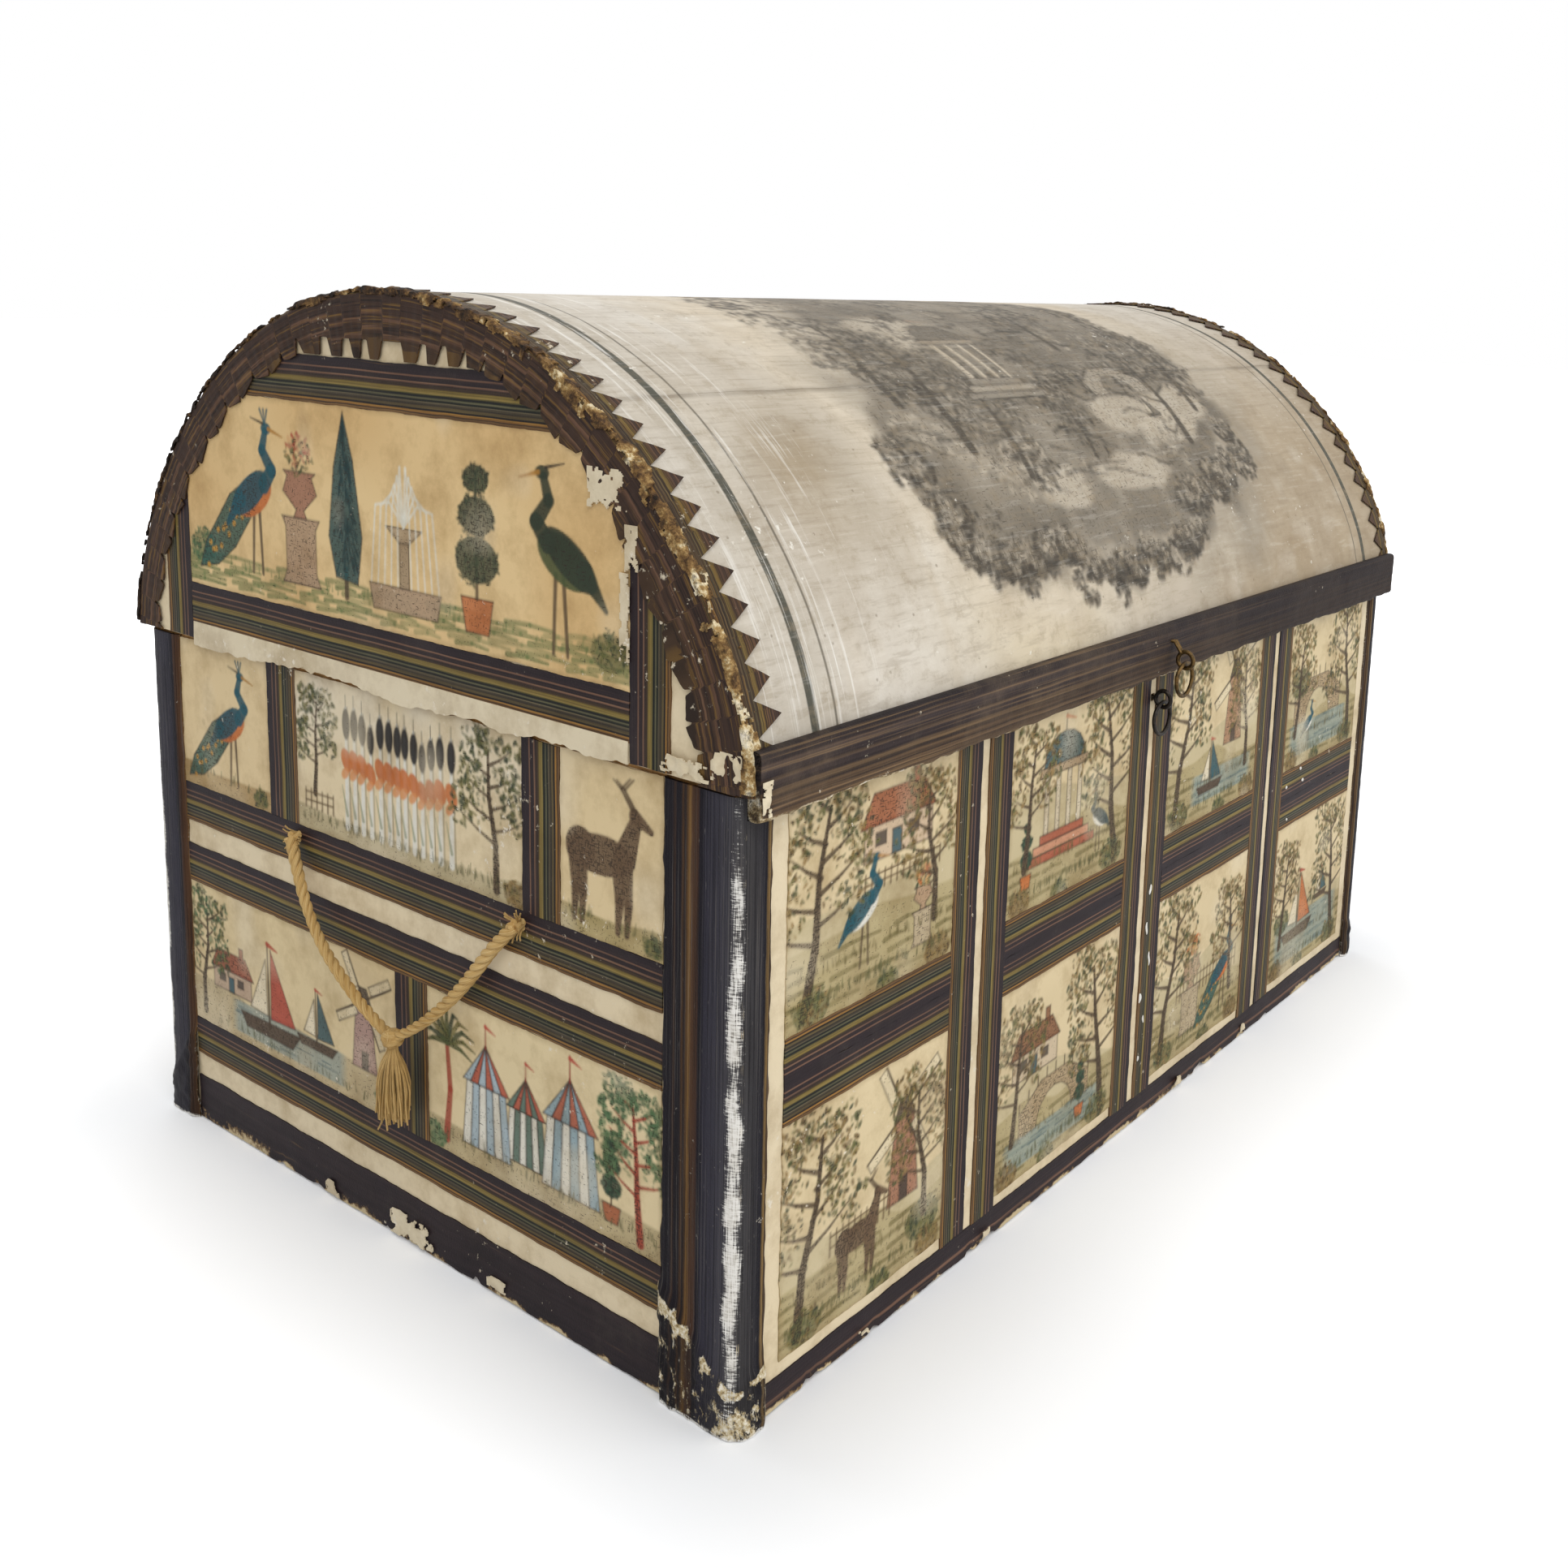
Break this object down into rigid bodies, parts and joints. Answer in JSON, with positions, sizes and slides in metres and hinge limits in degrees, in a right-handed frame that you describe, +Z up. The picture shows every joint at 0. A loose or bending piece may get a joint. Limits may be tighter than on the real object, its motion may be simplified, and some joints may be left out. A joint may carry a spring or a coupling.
{
  "type": "dome top trunk",
  "caption": "Paper-covered wooden box with a hinged dome lid, ring staples at the front and a knotted cord handle on its end.",
  "frame": {"origin": "middle of the base board's underside, on the floor", "axes": "+X along the length to the right, -Y the front with the rings, +Z up"},
  "size_m": [0.417, 0.2881, 0.2829],
  "materials": {
    "pine": "bare, aged",
    "pasteboard": "matte",
    "rim_board": "paper covered, worn",
    "corner_paper": "matte, worn",
    "ground_paper": "matte, aged",
    "print_paper": "matte, hand coloured",
    "striped_paper": "matte, striped",
    "edging_paper": "matte, worn",
    "dome_paper": "matte, aged",
    "lining_paper": "matte",
    "iron": "dull, rusted",
    "brass": "dull, aged",
    "straw_cord": "twisted cord"
  },
  "bodies": {
    "box_body": {"front_board": "pine", "back_board": "pine", "left_end_board": "pine", "right_end_board": "pine", "base_board": "pine", "corner_wrap_front_left": "corner_paper", "corner_wrap_front_right": "corner_paper", "corner_wrap_back_left": "corner_paper", "corner_wrap_back_right": "corner_paper", "box_front_paper": "ground_paper", "box_back_paper": "ground_paper", "box_left_paper": "ground_paper", "box_right_paper": "ground_paper", "box_front_prints": "print_paper", "box_back_prints": "print_paper", "box_left_prints": "print_paper", "box_right_prints": "print_paper", "box_front_bands": "striped_paper", "box_back_bands": "striped_paper", "box_left_bands": "striped_paper", "box_right_bands": "striped_paper", "base_edge_bands": "striped_paper", "box_lining": "lining_paper", "corner_nails": "iron", "base_nails": "iron", "box_hinge_nails": "iron", "box_hinge_leaf_left": "iron", "box_hinge_leaf_right": "iron", "hinge_pins": "iron", "box_staple": "iron", "cord_stops": "straw_cord"},
    "lid_body": {"lid_left_end": "pine", "lid_right_end": "pine", "dome_shell": "pasteboard", "dome_cover_paper": "dome_paper", "lid_front_rail": "pine", "lid_back_rail": "pine", "rail_nails": "iron", "front_rim_band": "rim_board", "lid_back_band": "striped_paper", "lid_left_paper": "ground_paper", "lid_left_print": "print_paper", "lid_left_edging": "edging_paper", "lid_left_bands": "striped_paper", "lid_right_paper": "ground_paper", "lid_right_print": "print_paper", "lid_right_edging": "edging_paper", "lid_right_bands": "striped_paper", "lid_lining": "lining_paper", "lid_staple": "brass", "lid_hinge_leaf_left": "iron", "lid_hinge_leaf_right": "iron", "lid_hinge_nails": "iron"},
    "lid_ring_body": {"lid_ring": "brass"},
    "box_ring_body": {"box_ring": "iron"},
    "handle_body": {"handle_knot": "straw_cord", "handle_tassel": "straw_cord", "handle_cord_back": "straw_cord", "handle_cord_front": "straw_cord"}
  },
  "joints": [
    {"name": "lid_hinge", "type": "hinge", "parent": "box_body", "child": "lid_body", "pos_m": [0, 0.13903, 0.17015], "axis": [-1, 0, 0], "range_deg": [0, 108]},
    {"name": "lid_ring_swing", "type": "hinge", "parent": "lid_body", "child": "lid_ring_body", "pos_m": [0, -0.14361, 0.16907], "axis": [-1, 0, 0], "range_deg": [0, 120]},
    {"name": "box_ring_swing", "type": "hinge", "parent": "box_body", "child": "box_ring_body", "pos_m": [0, -0.1363, 0.1545], "axis": [-1, 0, 0], "range_deg": [0, 80]},
    {"name": "handle_swing", "type": "hinge", "parent": "box_body", "child": "handle_body", "pos_m": [-0.2033, 0, 0.116], "axis": [0, 1, 0], "range_deg": [0, 140]}
  ]
}
